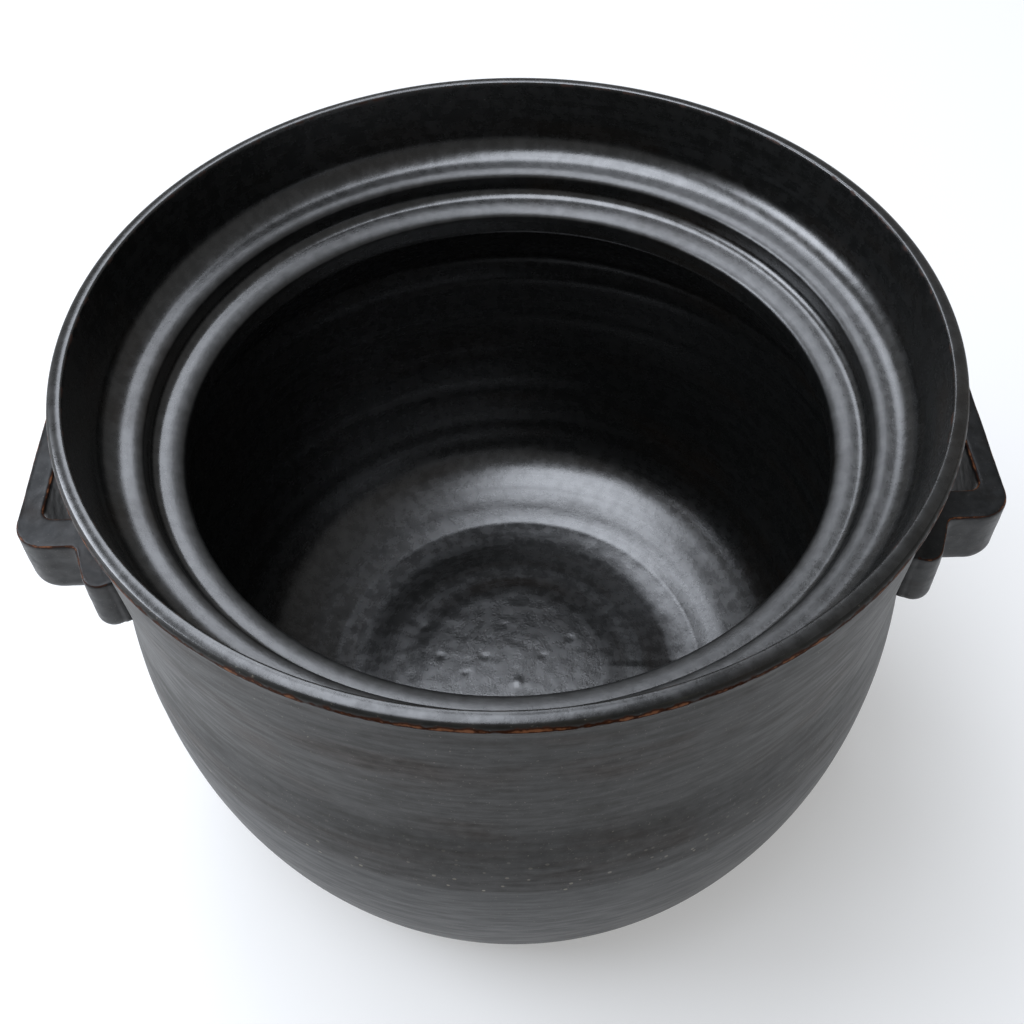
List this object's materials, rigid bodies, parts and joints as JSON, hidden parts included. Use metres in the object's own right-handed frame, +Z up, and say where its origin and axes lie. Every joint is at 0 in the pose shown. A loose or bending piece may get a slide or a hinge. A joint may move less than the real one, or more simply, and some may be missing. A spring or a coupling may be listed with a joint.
{
  "type": "donabe pot",
  "caption": "Deep round-bellied glazed clay cooking pot without lids, with a stepped double lid ledge inside the collar and slotted lug handles.",
  "frame": {"origin": "middle of the foot, on the surface that the pot stands on", "axes": "+Z up along the pot's axis, +X through the right handle"},
  "size_m": [0.2238, 0.195, 0.148],
  "materials": {
    "iron_glaze": "satin near-black iron glaze, worn rust brown at the arrises",
    "iron_glaze_handle": "satin near-black iron glaze, worn rust brown at the arrises"
  },
  "bodies": {
    "root": {"pot_body": "iron_glaze", "handle_left": "iron_glaze_handle", "handle_right": "iron_glaze_handle"}
  },
  "joints": []
}
